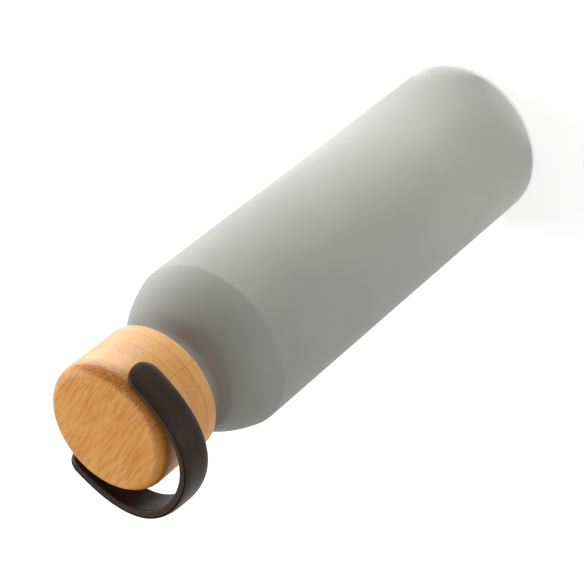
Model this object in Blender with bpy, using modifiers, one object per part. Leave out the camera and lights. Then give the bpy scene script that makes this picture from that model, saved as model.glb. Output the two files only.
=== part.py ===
"""Insulated drinking bottle with a turned bamboo screw lid and a swinging carry strap.

Metres, +Z up. The origin is the centre of the base, on the surface that the bottle stands on.
The strap's pivot runs along X, and the strap reaches towards -Y.
"""

import math

import bmesh
import bpy
from mathutils import Matrix, Vector

# Working clearance between pieces that touch, and overrun of a cutter past the wall it cuts
FIT_GAP = 0.0003
CUT_OVERRUN = 0.002

# Steel body
BODY_RADIUS = 0.0365
BODY_HEIGHT = 0.187
OUTER_WALL = 0.0006
BASE_CORNER_RADIUS = 0.0019
SHOULDER_RISE = 0.023
SHOULDER_START_TILT = math.radians(15.6)
SHOULDER_END_TILT = math.radians(55.0)
SHOULDER_LOWER_HANDLE_SHARE = 0.37
SHOULDER_UPPER_HANDLE_SHARE = 0.32
NECK_RADIUS = 0.020
NECK_FILLET = 0.0056
NECK_EXPOSED = 0.0041
NECK_INSIDE_LID = 0.0148

# Inner flask
FLASK_WALL = 0.0005
VACUUM_GAP = 0.0032
NECK_VACUUM_GAP = 0.001
FLASK_FILLET = 0.0042
FLASK_CORNER_RADIUS = 0.008
LIP_BEND_RADIUS = 0.0005

# Bottom of the body
BOTTOM_WALL = 0.0006
LIP_WIDTH = 0.0019
BASE_CAP_HEIGHT = 0.0045
BASE_CAP_CORNER_RADIUS = 0.0009
BASE_BEAD_RADIUS = 0.026
BASE_BEAD_WIDTH = 0.0034
BASE_BEAD_DEPTH = 0.0009
VACUUM_BOTTOM_HEIGHT = 0.0096
VACUUM_BOTTOM_CORNER_RADIUS = 0.0015
BOTTOM_VACUUM_GAP = 0.0071
DIMPLE_RADIUS = 0.0037
DIMPLE_SLOPE_WIDTH = 0.0014
DIMPLE_DEPTH = 0.0025
VENT_RADIUS = 0.0008
BEAD_RADIUS = 0.0024
BEAD_HEIGHT = 0.0018
GETTER_RADIUS = 0.0045
GETTER_HEIGHT = 0.0022
GETTER_RIM = 0.0009
GETTER_RECESS = 0.0005
GETTER_OFFSET = 0.014

# Screw thread between neck and lid
THREAD_STARTS = 3
THREAD_PITCH = 0.004
THREAD_HEIGHT = 0.0013
THREAD_CLEARANCE = 0.00035
THREAD_ROOT_SHARE = 0.6
THREAD_CREST_SHARE = 0.28
THREAD_EMBED = 0.0003
THREAD_BOTTOM_MARGIN = 0.0022
THREAD_TOP_MARGIN = 0.0024
THREAD_LEAD_IN_STEPS = 4

# Lid insert, seal and liner
INSERT_WALL = 0.0016
INSERT_CEILING = 0.0016
INSERT_RECESS = 0.0003
INSERT_EDGE = 0.0004
GLUE_GROOVES = 2
GLUE_GROOVE_WIDTH = 0.0012
GLUE_GROOVE_DEPTH = 0.0004
GASKET_HEIGHT = 0.0022
GASKET_EDGE = 0.0004
LINER_WALL = 0.0005
LINER_CLEARANCE = 0.0015
LINER_DROP = 0.001
LINER_CORNER_RADIUS = 0.001

# Bamboo lid
LID_WALL = 0.004
LID_TOP_THICKNESS = 0.0148
LID_CROWN = 0.0009
LID_EDGE_ROUNDING = 0.005
LID_CREST_TILT = math.radians(16.0)
LID_RIM_ROUNDING = 0.0009
LID_BORE_EDGE = 0.0005

# Carry strap
STRAP_WIDTH = 0.0131
STRAP_THICKNESS = 0.0041
STRAP_EDGE = 0.0008
STRAP_EDGE_STEPS = 2
STRAP_CROWN = 0.0009
STRAP_CROWN_START_SHARE = 0.5
SHARP_ANGLE = math.radians(60.0)
STRAP_WALL_GAP = 0.0016
STRAP_FINGER_GAP = 0.0082
STRAP_TIP_OVERRUN = 0.0004
STRAP_PIVOT_DROP = 0.0085
STRAP_REST_TILT = math.radians(1.8)
STRAP_SIDE_HANDLE_SHARE = 0.86
STRAP_BOW_HANDLE_SHARE = 0.38
STRAP_ROWS = 30
STRAP_TIP_ROWS = 5

# Pivot studs and their brass sockets
STUD_HEAD_RADIUS = 0.0036
STUD_HEAD_HEIGHT = 0.0012
STUD_HEAD_EDGE = 0.0004
STUD_HEAD_DEPTH = 0.0011
STUD_NECK_RADIUS = 0.0016
STUD_COLLAR_RADIUS = 0.0036
STUD_COLLAR_EDGE = 0.0002
STUD_SHANK_RADIUS = 0.0015
STUD_SHANK_LENGTH = 0.0082
STUD_SHANK_EDGE = 0.0004
SOCKET_LENGTH = 0.0096
SOCKET_WALL = 0.0009
SOCKET_BARBS = 3
SOCKET_BARB_HEIGHT = 0.0004

# Facets
SEGMENTS = 36
INNER_SEGMENTS = 28
SMALL_SEGMENTS = 16
SHOULDER_STEPS = 6
FILLET_STEPS = 3
CORNER_STEPS = 3
ROUNDING_STEPS = 5
BEAD_STEPS = 4
CURVE_SAMPLES = 60
MERGE_DISTANCE = 1e-6

# Heights of the body, from the base up
SHOULDER_TOP = BODY_HEIGHT + SHOULDER_RISE
NECK_BOTTOM = SHOULDER_TOP + NECK_FILLET * math.sin(SHOULDER_END_TILT)
LID_BOTTOM = NECK_BOTTOM + NECK_EXPOSED
LIP_TOP = LID_BOTTOM + NECK_INSIDE_LID
LIP_UNDERSIDE = LIP_TOP - FLASK_WALL
SHELL_TOP = LIP_UNDERSIDE - FIT_GAP
SHELL_INNER_RADIUS = BODY_RADIUS - OUTER_WALL
NECK_BORE = NECK_RADIUS - OUTER_WALL

# Flask inside the body
FLASK_RADIUS = SHELL_INNER_RADIUS - VACUUM_GAP
FLASK_NECK_RADIUS = NECK_BORE - NECK_VACUUM_GAP
MOUTH_RADIUS = FLASK_NECK_RADIUS - FLASK_WALL
FLASK_OFFSET = OUTER_WALL + VACUUM_GAP
FLASK_BOTTOM = VACUUM_BOTTOM_HEIGHT + BOTTOM_VACUUM_GAP
BASE_CAP_RADIUS = BODY_RADIUS - LIP_WIDTH - FIT_GAP
VACUUM_BOTTOM_RADIUS = SHELL_INNER_RADIUS - FIT_GAP
VACUUM_BOTTOM_FOOT = BASE_CORNER_RADIUS + FIT_GAP

# Heights and radii of the lid
THREAD_LEAD = THREAD_STARTS * THREAD_PITCH
THREAD_CREST_RADIUS = NECK_RADIUS + THREAD_HEIGHT
INSERT_BORE = THREAD_CREST_RADIUS + THREAD_CLEARANCE
INSERT_CREST_RADIUS = NECK_RADIUS + THREAD_CLEARANCE
INSERT_RADIUS = INSERT_BORE + INSERT_WALL
INSERT_BOTTOM = LID_BOTTOM + INSERT_RECESS
GASKET_BOTTOM = LIP_TOP + FIT_GAP
GASKET_TOP = GASKET_BOTTOM + GASKET_HEIGHT
CEILING = GASKET_TOP + FIT_GAP
INSERT_TOP = CEILING + INSERT_CEILING
LID_BORE = INSERT_RADIUS + FIT_GAP
LID_BORE_TOP = INSERT_TOP + FIT_GAP
LID_RADIUS = LID_BORE + LID_WALL
LID_TOP = LID_BORE_TOP + LID_TOP_THICKNESS
LINER_RADIUS = MOUTH_RADIUS - LINER_CLEARANCE
LINER_BOTTOM = LIP_TOP - LINER_DROP
BOSS_RADIUS = LINER_RADIUS - LINER_WALL - FIT_GAP
BOSS_BOTTOM = LINER_BOTTOM + LINER_WALL + FIT_GAP
GASKET_BORE = LINER_RADIUS + FIT_GAP
GASKET_RADIUS = INSERT_BORE - FIT_GAP

# Strap and pivot, along X from the bottle's axis
PIVOT_HEIGHT = LID_TOP - STRAP_PIVOT_DROP
STRAP_INNER = LID_RADIUS + STRAP_WALL_GAP
STRAP_CENTRE = STRAP_INNER + STRAP_THICKNESS / 2
STRAP_REACH = LID_RADIUS + STRAP_FINGER_GAP + STRAP_THICKNESS / 2
STRAP_TIP = STRAP_WIDTH / 2 + STRAP_TIP_OVERRUN
POCKET_START = STRAP_INNER + STUD_HEAD_DEPTH
POCKET_END = POCKET_START + STUD_HEAD_HEIGHT + 2 * FIT_GAP
SOCKET_RADIUS = STUD_SHANK_RADIUS + FIT_GAP + SOCKET_WALL + SOCKET_BARB_HEIGHT
SOCKET_OUTER_END = LID_RADIUS - FIT_GAP
SOCKET_INNER_END = SOCKET_OUTER_END - SOCKET_LENGTH


def clear_scene():
    for old in list(bpy.data.objects):
        bpy.data.objects.remove(old, do_unlink=True)


def new_collection(name, hidden=False):
    collection = bpy.data.collections.new(name)
    collection.hide_render = hidden
    bpy.context.scene.collection.children.link(collection)
    return collection


def new_material(name, colour, roughness, metallic=0.0):
    material = bpy.data.materials.new(name)
    material.use_nodes = True
    shader = material.node_tree.nodes["Principled BSDF"]
    shader.inputs["Base Color"].default_value = (*colour, 1.0)
    shader.inputs["Roughness"].default_value = roughness
    shader.inputs["Metallic"].default_value = metallic
    return material


def arc(centre, radius, start, end, steps):
    """Points on an arc in the (radius, height) plane. Angles are in radians, from the outward direction up."""
    angles = [start + (end - start) * step / steps for step in range(steps + 1)]
    return [(centre[0] + radius * math.cos(a), centre[1] + radius * math.sin(a)) for a in angles]


def bezier(start, start_handle, end_handle, end, steps):
    """Points on a cubic curve, both ends included."""
    points = []
    for step in range(steps + 1):
        t = step / steps
        weights = ((1 - t) ** 3, 3 * t * (1 - t) ** 2, 3 * t * t * (1 - t), t**3)
        corners = (start, start_handle, end_handle, end)
        points.append(tuple(sum(w * c[axis] for w, c in zip(weights, corners)) for axis in (0, 1)))
    return points


def turned(name, profile, material, closed=False, segments=SEGMENTS):
    """An object turned about its own Z. The profile runs down the outer side, from top to bottom."""
    edges = [(i, i + 1) for i in range(len(profile) - 1)]
    if closed:
        edges.append((len(profile) - 1, 0))
    mesh = bpy.data.meshes.new(name)
    mesh.from_pydata([(radius, 0.0, height) for radius, height in profile], edges, [])
    obj = bpy.data.objects.new(name, mesh)
    screw = obj.modifiers.new("turn", "SCREW")
    screw.axis = "Z"
    screw.angle = 2 * math.pi
    screw.steps = segments
    screw.render_steps = segments
    screw.use_merge_vertices = True
    screw.merge_threshold = MERGE_DISTANCE
    screw.use_smooth_shade = True
    mesh.materials.append(material)
    parts.objects.link(obj)
    return obj


def turned_sheet(name, profile, wall, material, segments=INNER_SEGMENTS):
    """Sheet metal turned about Z: the profile is its outer face, and the wall goes inwards from it."""
    obj = turned(name, profile, material, segments=segments)
    sheet = obj.modifiers.new("sheet", "SOLIDIFY")
    sheet.thickness = wall
    sheet.offset = -1.0
    sheet.use_even_offset = True
    return obj


def as_cutter(obj):
    """Moves a helper out of the parts, so that only its shape is used."""
    parts.objects.unlink(obj)
    cutters.objects.link(obj)
    obj.hide_render = True
    obj.display_type = "WIRE"
    return obj


def boolean(obj, other, operation):
    cut = obj.modifiers.new(other.name, "BOOLEAN")
    cut.operation = operation
    cut.solver = "EXACT"
    cut.object = other


def mesh_object(name, bm, material):
    mesh = bpy.data.meshes.new(name)
    bm.to_mesh(mesh)
    bm.free()
    mesh.shade_smooth()
    obj = bpy.data.objects.new(name, mesh)
    mesh.materials.append(material)
    parts.objects.link(obj)
    return obj


def along_x(obj, side):
    """Lays an object that was turned about Z along the pivot, pointing outwards on that side."""
    obj.location = (0.0, 0.0, PIVOT_HEIGHT)
    obj.rotation_euler = (0.0, side * math.pi / 2, 0.0)
    return obj


def loft(bm, sections):
    """Joins rings of equal count with faces, and closes both ends."""
    rings = [[bm.verts.new(point) for point in section] for section in sections]
    for ring, following in zip(rings, rings[1:]):
        for i in range(len(ring)):
            j = (i + 1) % len(ring)
            bm.faces.new((ring[i], ring[j], following[j], following[i]))
    bm.faces.new(reversed(rings[0]))
    bm.faces.new(rings[-1])


def thread_ridges(name, root_radius, crest_radius, embed, bottom, top, phase, material):
    """The ridges of a right-hand thread with several starts, each fading out at both ends."""
    root = THREAD_PITCH * THREAD_ROOT_SHARE / 2
    crest = THREAD_PITCH * THREAD_CREST_SHARE / 2
    rise = top - bottom - 2 * root
    steps = max(2 * THREAD_LEAD_IN_STEPS, round(rise / THREAD_LEAD * SEGMENTS))
    bm = bmesh.new()
    for start in range(THREAD_STARTS):
        sections = []
        for step in range(steps + 1):
            turns = (step + 1 / 2) / SEGMENTS
            angle = 2 * math.pi * (start / THREAD_STARTS + turns)
            height = bottom + root + THREAD_LEAD * (turns + phase)
            from_end = min(step, steps - step) + 1
            share = min(1.0, from_end / THREAD_LEAD_IN_STEPS)
            radius = root_radius + (crest_radius - root_radius) * share
            outline = ((root_radius + embed, -root), (radius, -crest), (radius, crest), (root_radius + embed, root))
            turn = Matrix.Rotation(angle, 3, "Z")
            sections.append([turn @ Vector((r, 0.0, height + along)) for r, along in outline])
        loft(bm, sections)
    bmesh.ops.recalc_face_normals(bm, faces=bm.faces)
    return as_cutter(mesh_object(name, bm, material))


def shoulder(body_radius, body_height, top_height, neck_radius, fillet):
    """The shoulder from the neck down to the body: a concave fillet, then a dome that ends in a soft crease."""
    top_radius = neck_radius + fillet * (1 - math.cos(SHOULDER_END_TILT))
    centre = (neck_radius + fillet, top_height + fillet * math.sin(SHOULDER_END_TILT))
    neck = arc(centre, fillet, math.pi, math.pi + SHOULDER_END_TILT, FILLET_STEPS)
    span = math.dist((body_radius, body_height), (top_radius, top_height))
    upper = span * SHOULDER_UPPER_HANDLE_SHARE
    lower = span * SHOULDER_LOWER_HANDLE_SHARE
    upper_handle = (
        top_radius + upper * math.sin(SHOULDER_END_TILT),
        top_height - upper * math.cos(SHOULDER_END_TILT),
    )
    lower_handle = (
        body_radius - lower * math.sin(SHOULDER_START_TILT),
        body_height + lower * math.cos(SHOULDER_START_TILT),
    )
    dome = bezier(
        (top_radius, top_height), upper_handle, lower_handle, (body_radius, body_height), SHOULDER_STEPS
    )
    return neck[:-1] + dome


def make_outer_shell():
    coat = new_material("powder_coat", (0.36, 0.37, 0.34), 0.55)
    corner = (BODY_RADIUS - BASE_CORNER_RADIUS, BASE_CORNER_RADIUS)
    profile = [(NECK_RADIUS, SHELL_TOP)]
    profile += shoulder(BODY_RADIUS, BODY_HEIGHT, SHOULDER_TOP, NECK_RADIUS, NECK_FILLET)
    profile += arc(corner, BASE_CORNER_RADIUS, 0.0, -math.pi / 2, CORNER_STEPS)
    shell = turned_sheet("outer_shell", profile, OUTER_WALL, coat, segments=SEGMENTS)
    ridges = thread_ridges(
        "neck_thread",
        NECK_RADIUS,
        THREAD_CREST_RADIUS,
        -THREAD_EMBED,
        LID_BOTTOM + THREAD_BOTTOM_MARGIN,
        LIP_TOP - THREAD_TOP_MARGIN,
        0.0,
        coat,
    )
    boolean(shell, ridges, "UNION")


def make_inner_flask():
    steel = new_material("brushed_steel", (0.62, 0.61, 0.59), 0.32, 1.0)
    bend = (FLASK_NECK_RADIUS + LIP_BEND_RADIUS, LIP_UNDERSIDE - LIP_BEND_RADIUS)
    corner = (FLASK_RADIUS - FLASK_CORNER_RADIUS, FLASK_BOTTOM + FLASK_CORNER_RADIUS)
    body_height = BODY_HEIGHT - FLASK_OFFSET * math.tan(SHOULDER_START_TILT / 2)
    top_height = SHOULDER_TOP - FLASK_OFFSET * math.sin(SHOULDER_END_TILT)
    profile = [(NECK_RADIUS, LIP_UNDERSIDE)]
    profile += arc(bend, LIP_BEND_RADIUS, math.pi / 2, math.pi, CORNER_STEPS)
    profile += shoulder(FLASK_RADIUS, body_height, top_height, FLASK_NECK_RADIUS, FLASK_FILLET)
    profile += arc(corner, FLASK_CORNER_RADIUS, 0.0, -math.pi / 2, FILLET_STEPS)
    profile.append((0.0, FLASK_BOTTOM))
    turned_sheet("inner_flask", profile, FLASK_WALL, steel)


def make_bottom():
    steel = new_material("bottom_steel", (0.6, 0.59, 0.57), 0.38, 1.0)
    corner = (VACUUM_BOTTOM_RADIUS - VACUUM_BOTTOM_CORNER_RADIUS, VACUUM_BOTTOM_HEIGHT - VACUUM_BOTTOM_CORNER_RADIUS)
    dimple_top = VACUUM_BOTTOM_HEIGHT + DIMPLE_DEPTH
    profile = [
        (VENT_RADIUS, dimple_top),
        (DIMPLE_RADIUS, dimple_top),
        (DIMPLE_RADIUS + DIMPLE_SLOPE_WIDTH, VACUUM_BOTTOM_HEIGHT),
    ]
    profile += arc(corner, VACUUM_BOTTOM_CORNER_RADIUS, math.pi / 2, 0.0, CORNER_STEPS)
    profile.append((VACUUM_BOTTOM_RADIUS, VACUUM_BOTTOM_FOOT))
    turned_sheet("vacuum_bottom", profile, BOTTOM_WALL, steel)

    bead_top = dimple_top - BOTTOM_WALL - FIT_GAP
    bead = [(0.0, bead_top), (BEAD_RADIUS, bead_top)]
    for step in range(1, FILLET_STEPS + 1):
        angle = math.pi / 2 * step / FILLET_STEPS
        bead.append((BEAD_RADIUS * math.cos(angle), bead_top - BEAD_HEIGHT * math.sin(angle)))
    bead[-1] = (0.0, bead_top - BEAD_HEIGHT)
    solder = new_material("seal_glass", (0.12, 0.12, 0.11), 0.25)
    turned("seal_bead", bead, solder, segments=SMALL_SEGMENTS)

    getter_top = FLASK_BOTTOM - FIT_GAP
    getter_profile = [
        (0.0, getter_top),
        (GETTER_RADIUS, getter_top),
        (GETTER_RADIUS, getter_top - GETTER_HEIGHT),
        (GETTER_RADIUS - GETTER_RIM, getter_top - GETTER_HEIGHT),
        (GETTER_RADIUS - GETTER_RIM, getter_top - GETTER_HEIGHT + GETTER_RECESS),
        (0.0, getter_top - GETTER_HEIGHT + GETTER_RECESS),
    ]
    grey = new_material("getter_metal", (0.3, 0.3, 0.31), 0.5, 1.0)
    getter = turned("getter", getter_profile, grey, segments=SMALL_SEGMENTS)
    getter.location = (GETTER_OFFSET, 0.0, 0.0)


def make_base_cap():
    coat = new_material("base_steel", (0.55, 0.54, 0.52), 0.4, 1.0)
    corner = (BASE_CAP_RADIUS - BASE_CAP_CORNER_RADIUS, BASE_CAP_CORNER_RADIUS)
    profile = [(BASE_CAP_RADIUS, BASE_CAP_HEIGHT)]
    profile += arc(corner, BASE_CAP_CORNER_RADIUS, 0.0, -math.pi / 2, CORNER_STEPS)
    for step in range(BEAD_STEPS + 1):
        share = step / BEAD_STEPS
        radius = BASE_BEAD_RADIUS + BASE_BEAD_WIDTH * (1 / 2 - share)
        profile.append((radius, BASE_BEAD_DEPTH * math.sin(math.pi * share) ** 2))
    profile[-1] = (BASE_BEAD_RADIUS - BASE_BEAD_WIDTH / 2, 0.0)
    profile.append((0.0, 0.0))
    turned_sheet("base_cap", profile, BOTTOM_WALL, coat, segments=SEGMENTS)


def make_thread_insert():
    plastic = new_material("white_plastic", (0.78, 0.77, 0.73), 0.42)
    outer = [(INSERT_RADIUS - INSERT_EDGE, INSERT_TOP), (INSERT_RADIUS, INSERT_TOP - INSERT_EDGE)]
    spacing = (INSERT_TOP - INSERT_BOTTOM) / (GLUE_GROOVES + 1)
    for groove in range(GLUE_GROOVES):
        middle = INSERT_TOP - spacing * (groove + 1)
        depth = INSERT_RADIUS - GLUE_GROOVE_DEPTH
        outer += [
            (INSERT_RADIUS, middle + GLUE_GROOVE_WIDTH / 2),
            (depth, middle + GLUE_GROOVE_WIDTH / 4),
            (depth, middle - GLUE_GROOVE_WIDTH / 4),
            (INSERT_RADIUS, middle - GLUE_GROOVE_WIDTH / 2),
        ]
    inner = [
        (INSERT_RADIUS, INSERT_BOTTOM + INSERT_EDGE),
        (INSERT_RADIUS - INSERT_EDGE, INSERT_BOTTOM),
        (INSERT_BORE + INSERT_EDGE, INSERT_BOTTOM),
        (INSERT_BORE, INSERT_BOTTOM + INSERT_EDGE),
        (INSERT_BORE, CEILING),
        (BOSS_RADIUS, CEILING),
        (BOSS_RADIUS, BOSS_BOTTOM + INSERT_EDGE),
        (BOSS_RADIUS - INSERT_EDGE, BOSS_BOTTOM),
        (0.0, BOSS_BOTTOM),
    ]
    insert = turned("thread_insert", [(0.0, INSERT_TOP)] + outer + inner, plastic)
    ridges = thread_ridges(
        "insert_thread",
        INSERT_BORE,
        INSERT_CREST_RADIUS,
        THREAD_EMBED,
        LID_BOTTOM + THREAD_BOTTOM_MARGIN,
        LIP_TOP - THREAD_TOP_MARGIN,
        1 / (2 * THREAD_STARTS),
        plastic,
    )
    boolean(insert, ridges, "UNION")


def make_gasket():
    silicone = new_material("clear_silicone", (0.7, 0.7, 0.68), 0.5)
    profile = [
        (GASKET_BORE + GASKET_EDGE, GASKET_TOP),
        (GASKET_RADIUS - GASKET_EDGE, GASKET_TOP),
        (GASKET_RADIUS, GASKET_TOP - GASKET_EDGE),
        (GASKET_RADIUS, GASKET_BOTTOM + GASKET_EDGE),
        (GASKET_RADIUS - GASKET_EDGE, GASKET_BOTTOM),
        (GASKET_BORE + GASKET_EDGE, GASKET_BOTTOM),
        (GASKET_BORE, GASKET_BOTTOM + GASKET_EDGE),
        (GASKET_BORE, GASKET_TOP - GASKET_EDGE),
    ]
    turned("gasket", profile, silicone, closed=True, segments=INNER_SEGMENTS)


def make_liner():
    steel = new_material("liner_steel", (0.64, 0.63, 0.61), 0.28, 1.0)
    corner = (LINER_RADIUS - LINER_CORNER_RADIUS, LINER_BOTTOM + LINER_CORNER_RADIUS)
    profile = [(LINER_RADIUS, CEILING - FIT_GAP)]
    profile += arc(corner, LINER_CORNER_RADIUS, 0.0, -math.pi / 2, CORNER_STEPS)
    profile.append((0.0, LINER_BOTTOM))
    turned_sheet("liner_disc", profile, LINER_WALL, steel)


def make_bamboo_lid():
    bamboo = new_material("bamboo", (0.66, 0.4, 0.16), 0.45)
    crest = LID_TOP - LID_CROWN
    top_corner = (LID_RADIUS - LID_EDGE_ROUNDING, crest - LID_EDGE_ROUNDING * math.cos(LID_CREST_TILT))
    rim_corner = (LID_RADIUS - LID_RIM_ROUNDING, LID_BOTTOM + LID_RIM_ROUNDING)
    rounding = arc(top_corner, LID_EDGE_ROUNDING, math.pi / 2 - LID_CREST_TILT, 0.0, ROUNDING_STEPS)
    profile = [(0.0, LID_TOP), (rounding[0][0] / 2, LID_TOP - LID_CROWN / 4)]
    profile += rounding
    profile += arc(rim_corner, LID_RIM_ROUNDING, 0.0, -math.pi / 2, CORNER_STEPS)
    profile += [
        (LID_BORE + LID_BORE_EDGE, LID_BOTTOM),
        (LID_BORE, LID_BOTTOM + LID_BORE_EDGE),
        (LID_BORE, LID_BORE_TOP),
        (0.0, LID_BORE_TOP),
    ]
    lid = turned("bamboo_lid", profile, bamboo)
    for side, word in ((-1, "left"), (1, "right")):
        bore_radius = SOCKET_RADIUS + FIT_GAP
        bore = [
            (0.0, LID_RADIUS + CUT_OVERRUN),
            (bore_radius, LID_RADIUS + CUT_OVERRUN),
            (bore_radius, SOCKET_INNER_END - FIT_GAP),
            (0.0, SOCKET_INNER_END - FIT_GAP),
        ]
        cutter = turned("lid_bore_" + word, bore, bamboo, segments=SMALL_SEGMENTS)
        boolean(lid, as_cutter(along_x(cutter, side)), "DIFFERENCE")


def make_pivots():
    steel = new_material("stud_steel", (0.6, 0.6, 0.6), 0.25, 1.0)
    brass = new_material("brass", (0.72, 0.52, 0.22), 0.35, 1.0)
    collar_start = LID_RADIUS + FIT_GAP
    collar_end = STRAP_INNER - FIT_GAP
    head_start = POCKET_START + FIT_GAP
    head_end = head_start + STUD_HEAD_HEIGHT
    shank_end = SOCKET_OUTER_END - STUD_SHANK_LENGTH
    stud = [
        (0.0, head_end),
        (STUD_HEAD_RADIUS - STUD_HEAD_EDGE, head_end),
        (STUD_HEAD_RADIUS, head_end - STUD_HEAD_EDGE),
        (STUD_HEAD_RADIUS, head_start),
        (STUD_NECK_RADIUS, head_start),
        (STUD_NECK_RADIUS, collar_end),
        (STUD_COLLAR_RADIUS - STUD_COLLAR_EDGE, collar_end),
        (STUD_COLLAR_RADIUS, collar_end - STUD_COLLAR_EDGE),
        (STUD_COLLAR_RADIUS, collar_start + STUD_COLLAR_EDGE),
        (STUD_COLLAR_RADIUS - STUD_COLLAR_EDGE, collar_start),
        (STUD_SHANK_RADIUS, collar_start),
        (STUD_SHANK_RADIUS, shank_end + STUD_SHANK_EDGE),
        (STUD_SHANK_RADIUS - STUD_SHANK_EDGE, shank_end),
        (0.0, shank_end),
    ]
    bore = STUD_SHANK_RADIUS + FIT_GAP
    core = SOCKET_RADIUS - SOCKET_BARB_HEIGHT
    barb = SOCKET_LENGTH / (SOCKET_BARBS + 1)
    socket = [(bore, SOCKET_OUTER_END), (SOCKET_RADIUS, SOCKET_OUTER_END)]
    for i in range(SOCKET_BARBS):
        top = SOCKET_OUTER_END - barb * (i + 1)
        socket += [(SOCKET_RADIUS, top + barb / 4), (core, top), (SOCKET_RADIUS, top - barb / 2)]
    socket += [(core, SOCKET_INNER_END), (bore, SOCKET_INNER_END)]
    for side, word in ((-1, "left"), (1, "right")):
        along_x(turned("pivot_stud_" + word, stud, steel, segments=SMALL_SEGMENTS), side)
        along_x(turned("stud_socket_" + word, socket, brass, closed=True, segments=SMALL_SEGMENTS), side)


def strap_centreline():
    """Half of the strap's centre line from the tip to the bow, as (along X, reach) points."""
    side_handle = STRAP_REACH * STRAP_SIDE_HANDLE_SHARE
    bow_handle = STRAP_CENTRE * STRAP_BOW_HANDLE_SHARE
    bow = bezier(
        (STRAP_CENTRE, 0.0),
        (STRAP_CENTRE, side_handle),
        (bow_handle, STRAP_REACH),
        (0.0, STRAP_REACH),
        CURVE_SAMPLES,
    )
    half = [(STRAP_CENTRE, -STRAP_TIP)] + bow
    return half + [(-x, reach) for x, reach in reversed(half[:-1])]


def point_along(line, lengths, distance):
    """The point at this distance along a line, and the direction to its outer side."""
    i = 1
    while i < len(lengths) - 1 and lengths[i] < distance:
        i += 1
    share = (distance - lengths[i - 1]) / (lengths[i] - lengths[i - 1])
    start = Vector(line[i - 1])
    step = Vector(line[i]) - start
    run = step.normalized()
    return start + step * share, Vector((run.y, -run.x))


def strap_rows(length):
    """Distances along the flat strap and its half width at each, with a round end at both tips."""
    radius = STRAP_WIDTH / 2
    tip = []
    for step in range(1, STRAP_TIP_ROWS + 1):
        angle = math.pi / 2 * step / STRAP_TIP_ROWS
        tip.append((radius * (1 - math.cos(angle)), radius * math.sin(angle)))
    straight = length - 2 * radius
    middle = [(radius + straight * row / STRAP_ROWS, radius) for row in range(1, STRAP_ROWS)]
    return tip + middle + [(length - along, half) for along, half in reversed(tip)]


def crown_drop(distance, across, length):
    """How far the crowned outer face lies below its middle at this place of the flat strap."""
    radius = STRAP_WIDTH / 2
    into_tip = max(radius - distance, distance - (length - radius), 0.0)
    from_middle = math.hypot(into_tip, across) / radius
    share = max(0.0, (from_middle - STRAP_CROWN_START_SHARE) / (1.0 - STRAP_CROWN_START_SHARE))
    return STRAP_CROWN * share**2


def make_strap():
    """The band is modelled flat, crowned, then bent round its centre line and pocketed for the studs."""
    silicone = new_material("dark_silicone", (0.035, 0.03, 0.026), 0.45)
    line = strap_centreline()
    lengths = [0.0]
    for start, end in zip(line, line[1:]):
        lengths.append(lengths[-1] + math.dist(start, end))
    length = lengths[-1]

    bm = bmesh.new()
    first = bm.verts.new((0.0, 0.0, 0.0))
    last = bm.verts.new((length, 0.0, 0.0))
    columns = (-1.0, -STRAP_CROWN_START_SHARE, STRAP_CROWN_START_SHARE, 1.0)
    rows = [[bm.verts.new((s, half * share, 0.0)) for share in columns] for s, half in strap_rows(length)]
    bm.faces.new([first] + rows[0])
    for row, following in zip(rows, rows[1:]):
        for i in range(len(columns) - 1):
            bm.faces.new((row[i], following[i], following[i + 1], row[i + 1]))
    bm.faces.new([last] + rows[-1][::-1])
    flat = mesh_object("flat_strap", bm, silicone)
    sheet = flat.modifiers.new("thickness", "SOLIDIFY")
    sheet.thickness = STRAP_THICKNESS
    sheet.offset = 0.0
    rounding = flat.modifiers.new("edges", "BEVEL")
    rounding.width = STRAP_EDGE
    rounding.segments = STRAP_EDGE_STEPS
    rounding.limit_method = "ANGLE"
    rounding.angle_limit = SHARP_ANGLE

    bpy.context.view_layer.update()
    graph = bpy.context.evaluated_depsgraph_get()
    mesh = bpy.data.meshes.new_from_object(flat.evaluated_get(graph))
    bpy.data.objects.remove(flat, do_unlink=True)
    for vertex in mesh.vertices:
        distance, across, out = vertex.co
        if out > 0.0:
            out -= crown_drop(distance, across, length)
        place, outward = point_along(line, lengths, distance)
        place = place + outward * out
        vertex.co = (place.x, -place.y, across)
    bm = bmesh.new()
    bm.from_mesh(mesh)
    bmesh.ops.recalc_face_normals(bm, faces=bm.faces)
    bm.to_mesh(mesh)
    bm.free()
    mesh.name = "strap"
    mesh.set_sharp_from_angle(angle=SHARP_ANGLE)
    strap = bpy.data.objects.new("strap", mesh)
    strap.location = (0.0, 0.0, PIVOT_HEIGHT)
    strap.rotation_euler = (-STRAP_REST_TILT, 0.0, 0.0)
    parts.objects.link(strap)

    hole = STUD_NECK_RADIUS + FIT_GAP
    pocket = STUD_HEAD_RADIUS + FIT_GAP
    profile = [
        (0.0, POCKET_END),
        (pocket, POCKET_END),
        (pocket, POCKET_START),
        (hole, POCKET_START),
        (hole, STRAP_INNER - CUT_OVERRUN),
        (0.0, STRAP_INNER - CUT_OVERRUN),
    ]
    for side, word in ((-1, "left"), (1, "right")):
        cutter = turned("strap_pocket_" + word, profile, silicone, segments=SMALL_SEGMENTS)
        boolean(strap, as_cutter(along_x(cutter, side)), "DIFFERENCE")


clear_scene()
parts = new_collection("insulated_bottle")
cutters = new_collection("cutters", hidden=True)
make_outer_shell()
make_inner_flask()
make_bottom()
make_base_cap()
make_thread_insert()
make_gasket()
make_liner()
make_bamboo_lid()
make_pivots()
make_strap()
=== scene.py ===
"""Studio scene of the insulated bottle: fine surfaces, procedural materials, soft light and the camera."""

import math

import bmesh
import bpy
from mathutils import Matrix, Vector


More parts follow.
